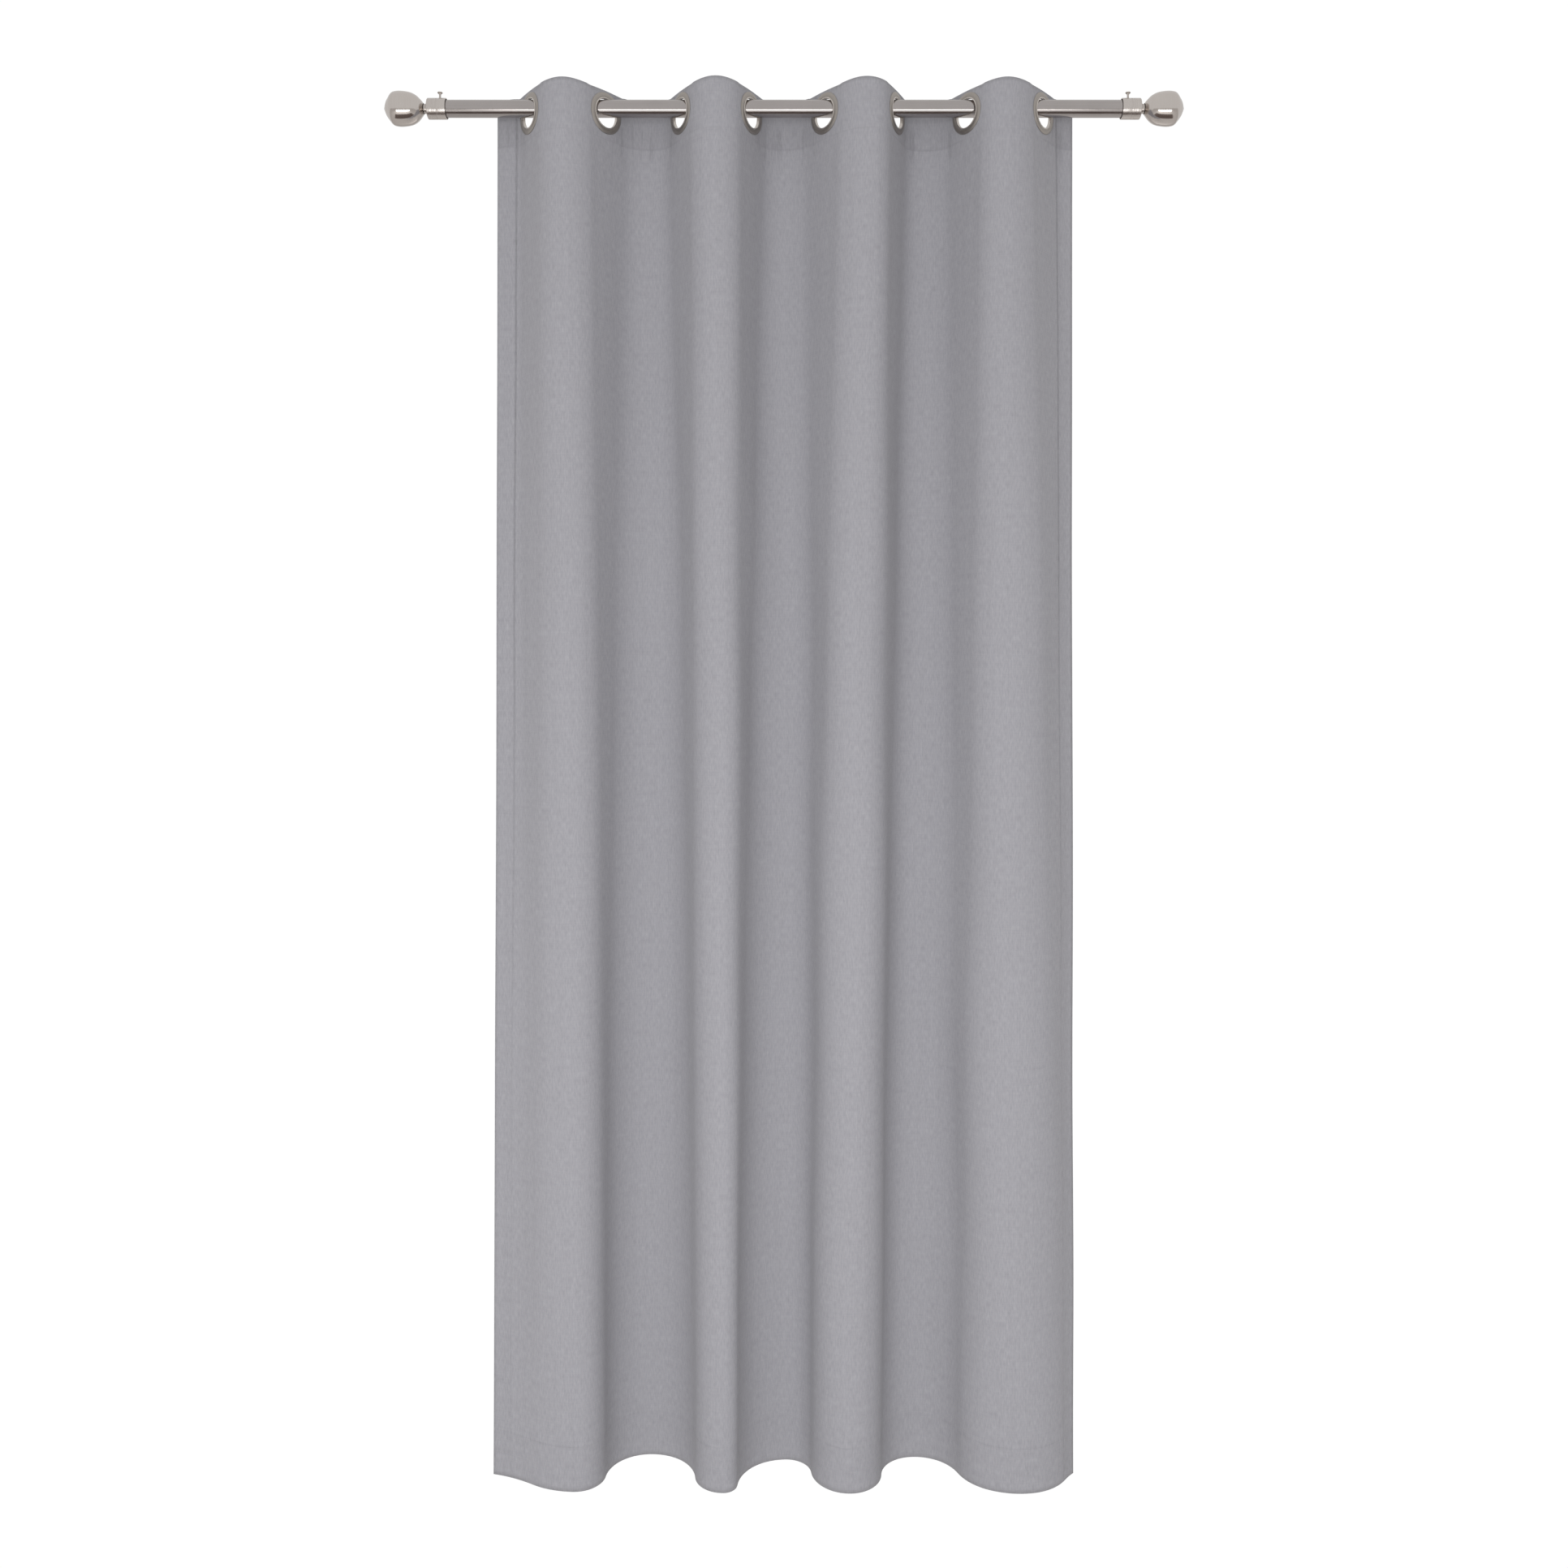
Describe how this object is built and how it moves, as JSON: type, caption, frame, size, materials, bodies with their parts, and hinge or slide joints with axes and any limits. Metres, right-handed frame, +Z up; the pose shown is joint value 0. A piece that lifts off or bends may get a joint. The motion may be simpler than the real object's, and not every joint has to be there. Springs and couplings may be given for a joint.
{
  "type": "eyelet curtain panel on a pole",
  "caption": "Grey woven curtain panel hanging in soft folds from metal eyelets on a round steel pole with pointed bulb finials held by thumb screws.",
  "frame": {"origin": "on the pole's axis, halfway between the two finials", "axes": "+X along the pole to the right finial, -Y towards the room, +Z up"},
  "size_m": [1.4122, 0.1265, 2.45],
  "materials": {
    "pole_steel": "brushed along its length",
    "collar_steel": "turned, fine rings",
    "screw_steel": "satin",
    "stem_steel": "turned",
    "bulb_steel": "polished satin",
    "eyelet_nickel": "matte nickel look",
    "grey_cloth": "matte woven"
  },
  "bodies": {
    "pole": {"pole_tube": "pole_steel"},
    "panel": {"fabric_panel": "grey_cloth", "heading_hem": "grey_cloth", "side_hem_left": "grey_cloth", "side_hem_right": "grey_cloth", "bottom_hem": "grey_cloth"},
    "eyelet_1": {"eyelet_1_front": "eyelet_nickel", "eyelet_1_back": "eyelet_nickel"},
    "eyelet_2": {"eyelet_2_front": "eyelet_nickel", "eyelet_2_back": "eyelet_nickel"},
    "eyelet_3": {"eyelet_3_front": "eyelet_nickel", "eyelet_3_back": "eyelet_nickel"},
    "eyelet_4": {"eyelet_4_front": "eyelet_nickel", "eyelet_4_back": "eyelet_nickel"},
    "eyelet_5": {"eyelet_5_front": "eyelet_nickel", "eyelet_5_back": "eyelet_nickel"},
    "eyelet_6": {"eyelet_6_front": "eyelet_nickel", "eyelet_6_back": "eyelet_nickel"},
    "eyelet_7": {"eyelet_7_front": "eyelet_nickel", "eyelet_7_back": "eyelet_nickel"},
    "eyelet_8": {"eyelet_8_front": "eyelet_nickel", "eyelet_8_back": "eyelet_nickel"},
    "finial_left": {"collar_left": "collar_steel", "finial_stem_left": "stem_steel", "finial_bulb_left": "bulb_steel"},
    "thumb_screw_left": {"thumb_screw_left": "screw_steel"},
    "finial_right": {"collar_right": "collar_steel", "finial_stem_right": "stem_steel", "finial_bulb_right": "bulb_steel"},
    "thumb_screw_right": {"thumb_screw_right": "screw_steel"}
  },
  "joints": [
    {"name": "panel_slide", "type": "slide", "parent": "pole", "child": "panel", "axis": [1, 0, 0], "range_m": [-0.08, 0.08]},
    {"name": "gather", "type": "slide", "parent": "panel", "child": "eyelet_8", "axis": [-1, 0, 0], "range_m": [0, 0.533], "deforming": ["fabric_panel", "heading_hem", "side_hem_left", "side_hem_right", "bottom_hem"]},
    {"name": "eyelet_1_slide", "type": "slide", "parent": "panel", "child": "eyelet_1", "axis": [-1, 0, 0], "range_m": [0, 0.0355]},
    {"name": "eyelet_2_slide", "type": "slide", "parent": "panel", "child": "eyelet_2", "axis": [-1, 0, 0], "range_m": [0, 0.1094]},
    {"name": "eyelet_3_slide", "type": "slide", "parent": "panel", "child": "eyelet_3", "axis": [-1, 0, 0], "range_m": [0, 0.1821]},
    {"name": "eyelet_4_slide", "type": "slide", "parent": "panel", "child": "eyelet_4", "axis": [-1, 0, 0], "range_m": [0, 0.2504]},
    {"name": "eyelet_5_slide", "type": "slide", "parent": "panel", "child": "eyelet_5", "axis": [-1, 0, 0], "range_m": [0, 0.3219]},
    {"name": "eyelet_6_slide", "type": "slide", "parent": "panel", "child": "eyelet_6", "axis": [-1, 0, 0], "range_m": [0, 0.3917]},
    {"name": "eyelet_7_slide", "type": "slide", "parent": "panel", "child": "eyelet_7", "axis": [-1, 0, 0], "range_m": [0, 0.4597]},
    {"name": "finial_left_pull", "type": "slide", "parent": "pole", "child": "finial_left", "axis": [-1, 0, 0], "range_m": [0, 0.035]},
    {"name": "thumb_screw_left_turn", "type": "hinge", "parent": "finial_left", "child": "thumb_screw_left", "pos_m": [-0.6073, 0, 0.02], "axis": [0, 0, 1], "range_deg": [0, 720]},
    {"name": "finial_right_pull", "type": "slide", "parent": "pole", "child": "finial_right", "axis": [1, 0, 0], "range_m": [0, 0.035]},
    {"name": "thumb_screw_right_turn", "type": "hinge", "parent": "finial_right", "child": "thumb_screw_right", "pos_m": [0.6073, 0, 0.02], "axis": [0, 0, 1], "range_deg": [0, 720]}
  ],
  "couplings": [
    {"joint": "eyelet_1_slide", "follows": "gather", "ratio": 0.0654},
    {"joint": "eyelet_2_slide", "follows": "gather", "ratio": 0.2041},
    {"joint": "eyelet_3_slide", "follows": "gather", "ratio": 0.3405},
    {"joint": "eyelet_4_slide", "follows": "gather", "ratio": 0.4687},
    {"joint": "eyelet_5_slide", "follows": "gather", "ratio": 0.6028},
    {"joint": "eyelet_6_slide", "follows": "gather", "ratio": 0.7338},
    {"joint": "eyelet_7_slide", "follows": "gather", "ratio": 0.8614}
  ]
}
